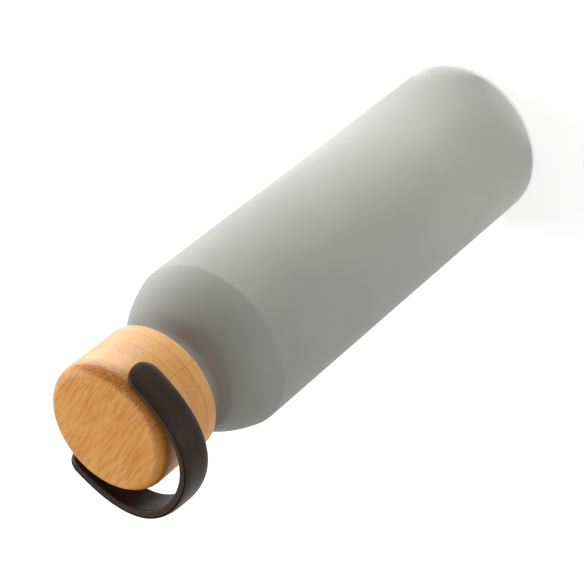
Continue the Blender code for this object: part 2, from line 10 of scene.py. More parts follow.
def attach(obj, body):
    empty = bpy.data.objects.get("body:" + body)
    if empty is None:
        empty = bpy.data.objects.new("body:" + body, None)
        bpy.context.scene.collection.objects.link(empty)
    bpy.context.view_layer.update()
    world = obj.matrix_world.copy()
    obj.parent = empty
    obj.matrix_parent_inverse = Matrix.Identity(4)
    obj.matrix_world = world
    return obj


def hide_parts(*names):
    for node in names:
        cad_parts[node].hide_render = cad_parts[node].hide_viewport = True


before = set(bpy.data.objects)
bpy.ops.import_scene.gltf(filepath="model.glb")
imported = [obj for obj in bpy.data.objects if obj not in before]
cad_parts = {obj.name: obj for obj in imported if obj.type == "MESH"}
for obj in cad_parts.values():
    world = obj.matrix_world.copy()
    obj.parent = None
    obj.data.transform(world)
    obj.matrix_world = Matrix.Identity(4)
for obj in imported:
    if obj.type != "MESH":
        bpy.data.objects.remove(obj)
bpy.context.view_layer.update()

MM = 0.001

# Sizes in millimetres, as the frame has them
FIT_GAP = 0.3
BODY_RADIUS = 36.5
BODY_HEIGHT = 187.0
OUTER_WALL = 0.6
BASE_CORNER_RADIUS = 1.9
SHOULDER_RISE = 23.0
SHOULDER_START_TILT = math.radians(15.6)
SHOULDER_END_TILT = math.radians(55.0)
SHOULDER_LOWER_HANDLE_SHARE = 0.37
SHOULDER_UPPER_HANDLE_SHARE = 0.32
CREASE_RADIUS = 5.0
NECK_RADIUS = 20.0
NECK_FILLET = 5.6
NECK_EXPOSED = 4.1
NECK_INSIDE_LID = 14.8
FLASK_WALL = 0.5
VACUUM_GAP = 3.2
NECK_VACUUM_GAP = 1.0
FLASK_FILLET = 4.2
FLASK_CORNER_RADIUS = 8.0
LIP_BEND_RADIUS = 0.5
BOTTOM_WALL = 0.6
LIP_WIDTH = 1.9
BASE_CAP_HEIGHT = 4.5
BASE_CAP_CORNER_RADIUS = 0.9
BASE_BEAD_RADIUS = 26.0
BASE_BEAD_WIDTH = 3.4
BASE_BEAD_DEPTH = 0.9
VACUUM_BOTTOM_HEIGHT = 9.6
BOTTOM_VACUUM_GAP = 7.1
THREAD_STARTS = 3
THREAD_PITCH = 4.0
THREAD_HEIGHT = 1.3
THREAD_CLEARANCE = 0.35
THREAD_ROOT_SHARE = 0.6
THREAD_CREST_SHARE = 0.28
THREAD_EMBED = 0.3
THREAD_BOTTOM_MARGIN = 2.2
THREAD_TOP_MARGIN = 2.4
THREAD_FADES_PER_TURN = 9
INSERT_WALL = 1.6
INSERT_CEILING = 1.6
INSERT_RECESS = 0.3
INSERT_EDGE = 0.4
GLUE_GROOVES = 2
GLUE_GROOVE_WIDTH = 1.2
GLUE_GROOVE_DEPTH = 0.4
GASKET_HEIGHT = 2.2
GASKET_EDGE = 0.4
LINER_WALL = 0.5
LINER_CLEARANCE = 1.5
LINER_DROP = 1.0
LINER_CORNER_RADIUS = 1.0
LID_WALL = 4.0
LID_TOP_THICKNESS = 14.8
LID_RIM_ROUNDING = 0.9
LID_BORE_EDGE = 0.5
STRAP_WIDTH = 13.1
STRAP_THICKNESS = 4.1
STRAP_WALL_GAP = 1.6
STRAP_FINGER_GAP = 8.2
STRAP_TIP_OVERRUN = 0.4
STRAP_PIVOT_DROP = 8.5
STRAP_REST_TILT = math.radians(1.8)
STRAP_SIDE_HANDLE_SHARE = 0.86
STRAP_BOW_HANDLE_SHARE = 0.38
STUD_HEAD_RADIUS = 3.6
STUD_HEAD_HEIGHT = 1.2
STUD_HEAD_EDGE = 0.4
STUD_HEAD_DEPTH = 1.1
STUD_NECK_RADIUS = 1.6
STUD_COLLAR_RADIUS = 3.6
STUD_COLLAR_EDGE = 0.2
STUD_SHANK_RADIUS = 1.5
STUD_SHANK_LENGTH = 8.2
STUD_SHANK_EDGE = 0.4
SOCKET_LENGTH = 9.6
SOCKET_WALL = 0.9
SOCKET_BARB_HEIGHT = 0.4

# Heights and radii that follow
SHOULDER_TOP = BODY_HEIGHT + SHOULDER_RISE
NECK_BOTTOM = SHOULDER_TOP + NECK_FILLET * math.sin(SHOULDER_END_TILT)
LID_BOTTOM = NECK_BOTTOM + NECK_EXPOSED
LIP_TOP = LID_BOTTOM + NECK_INSIDE_LID
LIP_UNDERSIDE = LIP_TOP - FLASK_WALL
SHELL_TOP = LIP_UNDERSIDE - FIT_GAP
SHELL_INNER_RADIUS = BODY_RADIUS - OUTER_WALL
FLASK_RADIUS = SHELL_INNER_RADIUS - VACUUM_GAP
FLASK_NECK_RADIUS = NECK_RADIUS - OUTER_WALL - NECK_VACUUM_GAP
MOUTH_RADIUS = FLASK_NECK_RADIUS - FLASK_WALL
FLASK_OFFSET = OUTER_WALL + VACUUM_GAP
FLASK_BOTTOM = VACUUM_BOTTOM_HEIGHT + BOTTOM_VACUUM_GAP
BASE_CAP_RADIUS = BODY_RADIUS - LIP_WIDTH - FIT_GAP
THREAD_LEAD = THREAD_STARTS * THREAD_PITCH
THREAD_CREST_RADIUS = NECK_RADIUS + THREAD_HEIGHT
INSERT_BORE = THREAD_CREST_RADIUS + THREAD_CLEARANCE
INSERT_CREST_RADIUS = NECK_RADIUS + THREAD_CLEARANCE
INSERT_RADIUS = INSERT_BORE + INSERT_WALL
INSERT_BOTTOM = LID_BOTTOM + INSERT_RECESS
GASKET_BOTTOM = LIP_TOP + FIT_GAP
GASKET_TOP = GASKET_BOTTOM + GASKET_HEIGHT
CEILING = GASKET_TOP + FIT_GAP
INSERT_TOP = CEILING + INSERT_CEILING
LID_BORE = INSERT_RADIUS + FIT_GAP
LID_BORE_TOP = INSERT_TOP + FIT_GAP
LID_RADIUS = LID_BORE + LID_WALL
LID_TOP = LID_BORE_TOP + LID_TOP_THICKNESS
LINER_RADIUS = MOUTH_RADIUS - LINER_CLEARANCE
LINER_BOTTOM = LIP_TOP - LINER_DROP
BOSS_RADIUS = LINER_RADIUS - LINER_WALL - FIT_GAP
BOSS_BOTTOM = LINER_BOTTOM + LINER_WALL + FIT_GAP
GASKET_BORE = LINER_RADIUS + FIT_GAP
GASKET_RADIUS = INSERT_BORE - FIT_GAP
PIVOT_HEIGHT = LID_TOP - STRAP_PIVOT_DROP
STRAP_INNER = LID_RADIUS + STRAP_WALL_GAP
STRAP_CENTRE = STRAP_INNER + STRAP_THICKNESS / 2
STRAP_REACH = LID_RADIUS + STRAP_FINGER_GAP + STRAP_THICKNESS / 2
STRAP_TIP = STRAP_WIDTH / 2 + STRAP_TIP_OVERRUN
POCKET_START = STRAP_INNER + STUD_HEAD_DEPTH
POCKET_END = POCKET_START + STUD_HEAD_HEIGHT + 2 * FIT_GAP
SOCKET_RADIUS = STUD_SHANK_RADIUS + FIT_GAP + SOCKET_WALL + SOCKET_BARB_HEIGHT
SOCKET_OUTER_END = LID_RADIUS - FIT_GAP

# Fine detail that only the scene has
BODY_SEGMENTS = 160
PIECE_SEGMENTS = 96
STUD_SEGMENTS = 40
SHARP_ANGLE = math.radians(38.0)
AXIS_RADIUS = 1e-6
MITRE_LIMIT = 0.5
CUT_MARGIN = 2.0
MERGE_DISTANCE = 0.001
BASE_BEAD_STEPS = 16
LID_EDGE_RADIUS = 5.0
LID_CROWN = 0.86
LID_CROWN_STEPS = 12
LID_CREST_TILT = math.radians(16.0)
LID_CREST_RADIUS = 1.6
STRAP_SIDE_POINTS = 110
STRAP_END_POINTS = 28
STRAP_SAMPLES = 400
STRAP_EDGE_ROUNDING = 0.75
STRAP_LIP_ROUNDING = 0.3
STRAP_LIP_INSET = 0.02
STRAP_GROOVE_WIDTH = 0.6
STRAP_GROOVE_DEPTH = 0.6
STRAP_CROWN = 0.6
STRAP_CROWN_FALL = 4.5
# Where the strap's section has points: shares of half its width on the flat inner face, of the
# groove's depth and width, and of the way from the lip to the middle on the crowned outer face
STRAP_INNER_SHARES = (1.0, 0.6, 0.3)
STRAP_GROOVE_SHARES = ((0.0, 0.0), (0.7, 0.2), (1.0, 0.5), (0.7, 0.8))
STRAP_CROWN_SHARES = (0.02, 0.05, 0.09, 0.14, 0.2, 0.28, 0.38, 0.5, 0.64, 0.8, 1.0)

# Studio, in metres and watts. The camera and reflections see the world and the far floor as white,
# but the world lights the object at this level only
WORLD_LEVEL = 0.16
FLOOR_REACH = 4.0
FLOOR_PAINT = (0.8, 0.8, 0.8, 1.0)
# The floor lies a hair under the base and is clear from below, so that the underside can be seen
FLOOR_GAP = 0.0001
# The floor's own white by the bottle, where its shadow shows, and the distances between which it
# rises to full white
GLOW_BY_BOTTLE = 0.6
GLOW_NEAR = 0.4
GLOW_FAR = 1.3
# Lamps: name, direction round the bottle and tilt in degrees, distance, height, width and depth, power.
# The table, foot and base lamps lie just over the floor and face up, as on a light table, which keeps
# the sides brighter than the shoulder. The base lamps reach under the bottle and light the body's foot.
# Higher ones leave a dark line there, and lower ones light the base bead from inside.
LIGHTS = (
    ("top", 0.0, -90.0, 0.0, 1.4, (0.6, 0.6), 5.4),
    ("rim", 120.0, -30.0, 1.04, 0.74, (0.6, 0.6), 6.5),
    ("fill_low", 315.0, 0.0, 0.6, 0.1, (0.4, 0.16), 0.88),
    ("table_right", 62.0, 90.0, 0.42, 0.003, (0.26, 0.24), 2.04),
    ("table_back", 98.0, 90.0, 0.42, 0.003, (0.3, 0.24), 1.52),
    ("foot_right", 45.0, 90.0, 0.12, 0.003, (0.17, 0.1), 0.2),
    ("foot_back", 120.0, 90.0, 0.12, 0.003, (0.1, 0.1), 0.057),
    ("foot_left", 300.0, 90.0, 0.12, 0.003, (0.1, 0.1), 0.04),
    ("base_left", 280.0, 90.0, 0.02, 0.001, (0.09, 0.09), 0.011),
    ("base_front", 350.0, 90.0, 0.02, 0.001, (0.09, 0.09), 0.003),
    ("base_right", 55.0, 90.0, 0.02, 0.001, (0.09, 0.09), 0.014),
    ("base_back", 120.0, 90.0, 0.02, 0.001, (0.09, 0.09), 0.03),
)
# Lamps nearer to the axis than this are round: the top lamp and the base lamps
ROUND_LAMPS_WITHIN = 0.1
# The camera, fitted to the photo's outlines; lens and sensor in millimetres
CAMERA_PLACE = (0.70236, -0.11721, 0.75909)
CAMERA_FORWARD = (-0.74284, 0.11937, -0.65874)
CAMERA_UP = (0.53527, 0.69689, -0.47732)
CAMERA_LENS = 143.06
CAMERA_SENSOR = 36.0
CAMERA_CLIP = (0.05, 20.0)


# Shapes


def arc(centre, radius, start, end, steps):
    angles = [start + (end - start) * step / steps for step in range(steps + 1)]
    return [(centre[0] + radius * math.cos(a), centre[1] + radius * math.sin(a)) for a in angles]


def bezier(start, start_handle, end_handle, end, steps):
    points = []
    for step in range(steps + 1):
        t = step / steps
        weights = ((1 - t) ** 3, 3 * t * (1 - t) ** 2, 3 * t * t * (1 - t), t**3)
        corners = (start, start_handle, end_handle, end)
        points.append(tuple(sum(w * c[axis] for w, c in zip(weights, corners)) for axis in (0, 1)))
    return points


def rounded_corner(before, corner, after, radius, steps):
    """The arc that rounds a corner between two straight runs."""
    a, b, c = Vector(before), Vector(corner), Vector(after)
    first, second = (a - b).normalized(), (c - b).normalized()
    half = first.angle(second) / 2
    reach = radius / math.tan(half)
    centre = b + (first + second).normalized() * radius / math.sin(half)
    start, end = b + first * reach - centre, b + second * reach - centre
    turn = start.angle_signed(end)
    points = []
    for step in range(steps + 1):
        angle = math.atan2(start.y, start.x) - turn * step / steps
        points.append((centre.x + radius * math.cos(angle), centre.y + radius * math.sin(angle)))
    return points


def smooth(mesh):
    mesh.shade_smooth()
    mesh.set_sharp_from_angle(angle=SHARP_ANGLE)


def add_object(name, data):
    obj = bpy.data.objects.new(name, data)
    bpy.context.scene.collection.objects.link(obj)
    return obj


def new_object(name, bm, transform=Matrix.Identity(4)):
    """Scales a mesh made in millimetres to metres and keeps its object at the origin."""
    bmesh.ops.transform(bm, matrix=Matrix.Scale(MM, 4) @ transform, verts=bm.verts)
    bmesh.ops.recalc_face_normals(bm, faces=bm.faces)
    mesh = bpy.data.meshes.new(name)
    bm.to_mesh(mesh)
    bm.free()
    smooth(mesh)
    return add_object(name, mesh)


def join_rings(bm, rings):
    """Faces between each ring of points and the next."""
    for ring, following in zip(rings, rings[1:]):
        for i in range(len(ring)):
            j = (i + 1) % len(ring)
            bm.faces.new((ring[i], ring[j], following[j], following[i]))


def lathe_mesh(profile, segments, closed=False):
    """A turned surface. Profile points are (radius, height); points on the axis become one vertex."""
    bm = bmesh.new()
    rings = []
    for radius, height in profile:
        if radius < AXIS_RADIUS:
            rings.append([bm.verts.new((0.0, 0.0, height))])
            continue
        ring = []
        for i in range(segments):
            a = 2 * math.pi * i / segments
            ring.append(bm.verts.new((radius * math.cos(a), radius * math.sin(a), height)))
        rings.append(ring)
    pairs = list(zip(rings, rings[1:]))
    if closed:
        pairs.append((rings[-1], rings[0]))
    for upper, lower in pairs:
        for i in range(segments):
            j = (i + 1) % segments
            if len(upper) == 1 and len(lower) == 1:
                continue
            if len(upper) == 1:
                bm.faces.new((upper[0], lower[i], lower[j]))
            elif len(lower) == 1:
                bm.faces.new((upper[i], lower[0], upper[j]))
            else:
                bm.faces.new((upper[i], lower[i], lower[j], upper[j]))
    return bm


def lathe(name, profile, segments=PIECE_SEGMENTS, closed=False, transform=Matrix.Identity(4)):
    return new_object(name, lathe_mesh(profile, segments, closed), transform)


def offset_profile(profile, wall):
    """The profile moved inwards by the wall, mitred at its points."""
    points = [Vector(p) for p in profile]
    moved = []
    for i, point in enumerate(points):
        before = points[max(i - 1, 0)]
        after = points[min(i + 1, len(points) - 1)]
        first = (point - before).normalized() if i > 0 else (after - point).normalized()
        second = (after - point).normalized() if i < len(points) - 1 else first
        normals = [Vector((run.y, -run.x)) for run in (first, second)]
        bisector = (normals[0] + normals[1]).normalized()
        moved.append(point + bisector * wall / max(bisector.dot(normals[0]), MITRE_LIMIT))
    return [(max(p.x, 0.0), p.y) for p in moved]


def sheet_lathe(name, profile, wall, segments=PIECE_SEGMENTS):
    """Sheet metal turned about Z, with its wall on the inside of the profile."""
    inner = offset_profile(profile, wall)
    on_axis = profile[-1][0] < AXIS_RADIUS
    outline = profile + [(0.0, inner[-1][1])] + inner[-2::-1] if on_axis else profile + inner[::-1]
    return lathe(name, outline, segments, closed=True)


def combine(obj, other, operation):
    """Applies a Boolean with another object, which is then removed."""
    modifier = obj.modifiers.new("boolean", "BOOLEAN")
    modifier.operation = operation
    modifier.solver = "EXACT"
    modifier.object = other
    bpy.context.view_layer.update()
    graph = bpy.context.evaluated_depsgraph_get()
    mesh = bpy.data.meshes.new_from_object(obj.evaluated_get(graph))
    obj.modifiers.clear()
    obj.data = mesh
    smooth(mesh)
    bpy.data.objects.remove(other, do_unlink=True)


def on_pivot(side):
    """Lays a piece that was turned about Z along the strap's pivot, pointing outwards on that side."""
    return Matrix.Translation((0.0, 0.0, PIVOT_HEIGHT)) @ Matrix.Rotation(side * math.pi / 2, 4, "Y")


def bore_on_pivot(obj, profile):
    """Cuts a turned hole into both sides of a piece, along the strap's pivot."""
    for side in (-1, 1):
        combine(obj, lathe("hole", profile, STUD_SEGMENTS, transform=on_pivot(side)), "DIFFERENCE")


def thread_ridges(root_radius, crest_radius, embed, phase, segments):
    """The ridges of the three-start right-hand thread, fading out at both ends."""
    bottom, top = LID_BOTTOM + THREAD_BOTTOM_MARGIN, LIP_TOP - THREAD_TOP_MARGIN
    root = THREAD_PITCH * THREAD_ROOT_SHARE / 2
    crest = THREAD_PITCH * THREAD_CREST_SHARE / 2
    rise = top - bottom - 2 * root
    steps = round(rise / THREAD_LEAD * segments)
    lead_in = segments // THREAD_FADES_PER_TURN
    bm = bmesh.new()
    for start in range(THREAD_STARTS):
        rings = []
        for step in range(steps + 1):
            turns = (step + 1 / 2) / segments
            angle = 2 * math.pi * (start / THREAD_STARTS + turns)
            height = bottom + root + THREAD_LEAD * (turns + phase)
            share = min(1.0, (min(step, steps - step) + 1) / lead_in)
            radius = root_radius + (crest_radius - root_radius) * share
            outline = (
                (root_radius + embed, -root),
                (root_radius, -root),
                (radius, -crest),
                (radius, crest),
                (root_radius, root),
                (root_radius + embed, root),
            )
            across, along = math.cos(angle), math.sin(angle)
            rings.append([bm.verts.new((r * across, r * along, height + z)) for r, z in outline])
        join_rings(bm, rings)
        bm.faces.new(reversed(rings[0]))
        bm.faces.new(rings[-1])
    return new_object("ridges", bm)


def shoulder(body_radius, body_height, top_height, neck_radius, fillet, steps):
    """The neck fillet and the dome down to the cylinder, with the soft crease between them."""
    top_radius = neck_radius + fillet * (1 - math.cos(SHOULDER_END_TILT))
    centre = (neck_radius + fillet, top_height + fillet * math.sin(SHOULDER_END_TILT))
    neck = arc(centre, fillet, math.pi, math.pi + SHOULDER_END_TILT, steps=10)
    span = math.dist((body_radius, body_height), (top_radius, top_height))
    upper = span * SHOULDER_UPPER_HANDLE_SHARE
    lower = span * SHOULDER_LOWER_HANDLE_SHARE
    upper_handle = (
        top_radius + upper * math.sin(SHOULDER_END_TILT),
        top_height - upper * math.cos(SHOULDER_END_TILT),
    )
    lower_handle = (
        body_radius - lower * math.sin(SHOULDER_START_TILT),
        body_height + lower * math.cos(SHOULDER_START_TILT),
    )
    dome = bezier((top_radius, top_height), upper_handle, lower_handle, (body_radius, body_height), steps)
    corner = rounded_corner(dome[-2], dome[-1], (body_radius, body_height - span), CREASE_RADIUS, steps=4)
    return neck[:-1] + dome[:-1] + corner


# Node helpers


class Nodes:
    """Builds the node tree of a material or a world, a call for each node."""

    def __init__(self, owner):
        owner.use_nodes = True
        self.tree = owner.node_tree

    def node(self, kind, inputs=None, **settings):
        made = self.tree.nodes.new(kind)
        for key, value in settings.items():
            setattr(made, key, value)
        for key, value in (inputs or {}).items():
            self.put(made.inputs[key], value)
        return made

    def put(self, socket, value):
        if hasattr(value, "is_output"):
            self.tree.links.new(value, socket)
        else:
            socket.default_value = value

    def math(self, operation, a, b=0.0, clamp=False):
        return self.node("ShaderNodeMath", {0: a, 1: b}, operation=operation, use_clamp=clamp).outputs[0]

    def plus(self, a, b):
        return self.math("ADD", a, b)

    def minus(self, a, b):
        return self.math("SUBTRACT", a, b)

    def times(self, a, b):
        return self.math("MULTIPLY", a, b)

    def ramp(self, value, low, high, out_low=0.0, out_high=1.0):
        """A smooth step of value from low to high."""
        made = self.node(
            "ShaderNodeMapRange",
            {"Value": value, "From Min": low, "From Max": high, "To Min": out_low, "To Max": out_high},
            interpolation_type="SMOOTHSTEP",
        )
        return made.outputs["Result"]

    def blend(self, share, a, b):
        """Between two numbers."""
        return self.node("ShaderNodeMix", {0: share, 2: a, 3: b}, data_type="FLOAT").outputs[0]

    def mix(self, share, a, b):
        """Between two colours."""
        return self.node("ShaderNodeMix", {0: share, 6: a, 7: b}, data_type="RGBA").outputs[2]

    def waver(self, noise, a, b):
        """Between two colours as a noise goes up and down."""
        return self.mix(self.ramp(noise, 0.3, 0.7), a, b)

    def noise(self, vector, scale, detail=2.0, roughness=0.5):
        inputs = {"Vector": vector, "Scale": scale, "Detail": detail, "Roughness": roughness}
        return self.node("ShaderNodeTexNoise", inputs).outputs["Fac"]

    def voronoi(self, vector, scale):
        return self.node("ShaderNodeTexVoronoi", {"Vector": vector, "Scale": scale}).outputs["Distance"]

    def place(self):
        """Object coordinates in millimetres."""
        made = self.node("ShaderNodeMapping", {"Vector": self.node("ShaderNodeTexCoord").outputs["Object"]})
        made.inputs["Scale"].default_value = [1 / MM] * 3
        return made.outputs["Vector"]

    def split(self, vector):
        return self.node("ShaderNodeSeparateXYZ", {0: vector}).outputs

    def join(self, x, y, z):
        return self.node("ShaderNodeCombineXYZ", {0: x, 1: y, 2: z}).outputs[0]

    def seen(self):
        """One for rays of the camera, reflections and refractions, and nought for diffuse light."""
        path = self.node("ShaderNodeLightPath").outputs
        straight = self.math("MAXIMUM", path["Is Camera Ray"], path["Is Glossy Ray"])
        return self.math("MAXIMUM", straight, path["Is Transmission Ray"])


class Finish(Nodes):
    """The node material of a piece."""

    def __init__(self, name):
        self.material = bpy.data.materials.new(name)
        super().__init__(self.material)
        self.shader = self.tree.nodes["Principled BSDF"]

    def bump(self, height, depth):
        """Relief whose full height is depth, in millimetres."""
        made = self.node("ShaderNodeBump", {"Height": height, "Distance": depth * MM})
        self.put(self.shader.inputs["Normal"], made.outputs["Normal"])

    def done(self, colour, roughness, **sockets):
        self.put(self.shader.inputs["Base Color"], colour)
        self.put(self.shader.inputs["Roughness"], roughness)
        for key, value in sockets.items():
            self.shader.inputs[key.replace("_", " ")].default_value = value
        return self.material


def srgb(red, green, blue):
    """A linear colour from 8-bit display values."""
    linear = []
    for value in (red, green, blue):
        v = value / 255
        linear.append(v / 12.92 if v <= 0.04045 else ((v + 0.055) / 1.055) ** 2.4)
    return (*linear, 1.0)


# Materials


# Seams between the wood's layers, in millimetres under the lid's top, and their half width
LAYER_DEPTHS = (8.7, 15.4, 22.1, 28.9)
SEAM = 0.08
# The lower three seams have glue lines: depth, strength and half width, with a core of full strength
GLUE_LINES = tuple(zip(LAYER_DEPTHS[1:], (0.16, 0.3, 0.44), (0.25, 0.3, 0.45)))
GLUE_CORE = 0.05
# Where strips meet along Y, from the third layer down
STRIP_JOINT = -4.6
# How far apart the layers lie in their textures, so that no grain goes on from one to the next
LAYER_SHIFT = 37.0
BAMBOO_LIGHT = srgb(233, 169, 86)
BAMBOO_WARM = srgb(226, 154, 70)
BAMBOO_PALE = srgb(240, 188, 122)
BAMBOO_STREAK = srgb(206, 128, 24)
BAMBOO_DOT = srgb(152, 78, 4)
BAMBOO_CREST = srgb(208, 120, 10)
BAMBOO_LINE = srgb(176, 104, 42)
# How far the roughness of silicone, plastic and metal goes up and down
ROUGHNESS_SWING = 0.05


def powder_coat():
    g = Finish("powder_coat_sage")
    where = g.place()
    peel = g.noise(where, 1.9, detail=3.0, roughness=0.6)
    grit = g.voronoi(where, 3.4)
    clouds = g.noise(where, 0.045)
    colour = g.waver(clouds, srgb(165, 166, 160), srgb(169, 170, 164))
    colour = g.mix(g.ramp(grit, 0.0, 0.25, 0.06, 0.0), colour, srgb(120, 121, 116))
    g.bump(g.plus(peel, g.times(grit, 0.35)), depth=0.035)
    return g.done(colour, g.ramp(peel, 0.25, 0.75, 0.5, 0.58), Specular_IOR_Level=0.25)


def bamboo():
    g = Finish("bamboo_laminated")
    x, y, z = g.split(g.place())
    normal_x, normal_y, _ = g.split(g.node("ShaderNodeTexCoord").outputs["Normal"])
    depth = g.minus(LID_TOP, z)

    # Layers glued crosswise: the first and part of the third have their fibres along X, the rest along Y
    second, third, fourth, fifth = (g.ramp(depth, at - SEAM, at + SEAM) for at in LAYER_DEPTHS)
    first = g.minus(1.0, second)
    strip = g.ramp(y, STRIP_JOINT - GLUE_CORE, STRIP_JOINT + GLUE_CORE)
    speckled = g.times(g.minus(third, fourth), strip)
    along_x = g.plus(first, speckled)
    along = g.blend(along_x, y, x)
    across = g.blend(along_x, x, y)
    layer = g.plus(g.plus(second, third), g.plus(fourth, fifth))
    row = g.plus(across, g.times(layer, LAYER_SHIFT))
    end_grain = g.ramp(g.math("ABSOLUTE", g.blend(along_x, normal_y, normal_x)), 0.22, 0.62)

    # Fibre bundles: dots where the cut crosses them, streaks where it runs along them
    wander = g.noise(g.join(g.times(along, 0.05), g.times(row, 0.06), 0.0), 1.0)
    line = g.plus(row, g.times(wander, 1.6))

    def drawn_out(share, rows=line):
        """Coordinates in which a texture is longer along the fibres, the more the smaller the share."""
        return g.join(g.times(along, share), rows, depth)

    bundle = drawn_out(0.1)
    dots = g.ramp(g.voronoi(bundle, 1.7), 0.64, 0.26)
    pores = g.ramp(g.voronoi(bundle, 2.9), 0.55, 0.15)
    fibres = g.noise(drawn_out(0.045), 3.0, roughness=0.55)
    streaks = g.noise(drawn_out(0.062), 1.3, roughness=0.6)
    patches = g.noise(drawn_out(0.35, row), 0.13)

    # Ground colour, paler in the lower layers, and the grain: value, ramp, strength and colour
    colour = g.waver(patches, BAMBOO_LIGHT, BAMBOO_WARM)
    pale = g.blend(fifth, g.blend(fourth, 0.34, 0.12), 0.42)
    colour = g.mix(g.times(second, pale), colour, BAMBOO_PALE)
    grain = (
        (streaks, 0.46, 0.62, 0.8, BAMBOO_STREAK),
        (fibres, 0.5, 0.72, 0.35, BAMBOO_PALE),
        (fibres, 0.46, 0.3, 0.3, BAMBOO_STREAK),
    )
    contrast = g.blend(first, 0.35, 1.0)
    for value, low, high, strength, tone in grain:
        colour = g.mix(g.times(g.ramp(value, low, high, 0.0, strength), contrast), colour, tone)
    colour = g.mix(g.times(g.times(pores, end_grain), 0.08), colour, BAMBOO_STREAK)

    # Dots crowd on the rounded edge of the first layer, in a ragged band that fades to both sides
    ragged = g.plus(depth, g.times(g.noise(g.place(), 0.35), 3.0))
    fade = g.times(g.ramp(y, -25.0, -3.0, 0.3, 1.0), g.ramp(y, 17.0, 26.0, 1.0, 0.5))
    crowded = g.times(g.times(first, g.ramp(ragged, 7.0, 10.2, 1.0, 0.0)), fade)
    colour = g.mix(g.times(g.times(end_grain, crowded), 0.55), colour, BAMBOO_CREST)
    dense = g.blend(crowded, g.blend(speckled, 0.04, 0.34), 0.8)
    dark = g.times(dots, g.times(end_grain, dense))
    colour = g.mix(dark, colour, BAMBOO_DOT)

    # Glue lines between the layers and one joint between strips, on the right-hand side
    lines = 0.0
    for at, strength, width in GLUE_LINES:
        away = g.math("ABSOLUTE", g.minus(depth, at))
        lines = g.plus(lines, g.ramp(away, width, GLUE_CORE, 0.0, strength))
    away = g.math("ABSOLUTE", g.minus(y, STRIP_JOINT))
    joint = g.times(g.ramp(away, 0.3, GLUE_CORE, 0.0, 0.45), third)
    lines = g.math("ADD", lines, g.times(joint, g.ramp(normal_x, 0.0, 0.3)), clamp=True)
    colour = g.mix(lines, colour, BAMBOO_LINE)

    pits = g.plus(dark, g.times(lines, 0.12))
    g.bump(g.minus(g.times(fibres, 0.3), pits), depth=0.03)
    rough = g.plus(g.times(dots, 0.1), g.blend(fibres, 0.46, 0.38))
    return g.done(colour, rough, Specular_IOR_Level=0.42)


def silicone(name, colour, lighter, rough, transmission=0.0, specular=0.4):
    g = Finish(name)
    where = g.place()
    grain = g.noise(where, 4.5, detail=3.0, roughness=0.65)
    clouds = g.noise(where, 0.12, detail=3.0)
    g.bump(g.plus(grain, g.times(clouds, 0.4)), depth=0.012)
    rough = g.blend(grain, rough - ROUGHNESS_SWING, rough + ROUGHNESS_SWING)
    tone = g.waver(clouds, colour, lighter)
    return g.done(tone, rough, Transmission_Weight=transmission, Specular_IOR_Level=specular)


def turned_metal(name, colour, darker, rough, axis="Z"):
    """Metal with the fine rings that spinning or turning leaves round its axis."""
    g = Finish(name)
    x, y, z = g.split(g.place())
    if axis == "X":
        x, z = g.minus(z, PIVOT_HEIGHT), x
    radius = g.math("SQRT", g.plus(g.times(x, x), g.times(y, y)))
    rings = g.noise(g.join(radius, z, 0.0), 5.0, detail=4.0, roughness=0.7)
    smears = g.noise(g.place(), 0.14, detail=3.0)
    tone = g.waver(g.plus(g.times(rings, 0.6), g.times(smears, 0.4)), colour, darker)
    g.bump(rings, depth=0.01)
    return g.done(tone, g.plus(g.times(rings, 0.14), rough - ROUGHNESS_SWING), Metallic=1.0)


def moulded(name, colour, rough):
    """Moulded plastic or set glass: even colour with a faint flow and a fine skin."""
    g = Finish(name)
    where = g.place()
    skin = g.noise(where, 3.0, detail=3.0, roughness=0.6)
    flow = g.noise(where, 0.1)
    tone = g.waver(flow, colour, [c * 0.93 for c in colour[:3]] + [1.0])
    g.bump(skin, depth=0.01)
    return g.done(tone, g.blend(skin, rough - ROUGHNESS_SWING, rough + ROUGHNESS_SWING))


def give(obj, material):
    obj.data.materials.clear()
    obj.data.materials.append(material)


def dress(obj, material, body, node):
    """Gives a finished piece its material and body, and hides the CAD node that it takes the place of."""
    give(obj, material)
    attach(obj, body)
    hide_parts(node)


# Pieces of the body


def make_body():
    corner = (BODY_RADIUS - BASE_CORNER_RADIUS, BASE_CORNER_RADIUS)
    profile = [(NECK_RADIUS, SHELL_TOP)]
    profile += shoulder(BODY_RADIUS, BODY_HEIGHT, SHOULDER_TOP, NECK_RADIUS, NECK_FILLET, steps=28)
    profile += arc(corner, BASE_CORNER_RADIUS, 0.0, -math.pi / 2, steps=10)
    shell = sheet_lathe("coated_body", profile, OUTER_WALL, BODY_SEGMENTS)
    ridges = thread_ridges(NECK_RADIUS, THREAD_CREST_RADIUS, -THREAD_EMBED, 0.0, BODY_SEGMENTS)
    combine(shell, ridges, "UNION")
    dress(shell, powder_coat(), "bottle", "outer_shell")


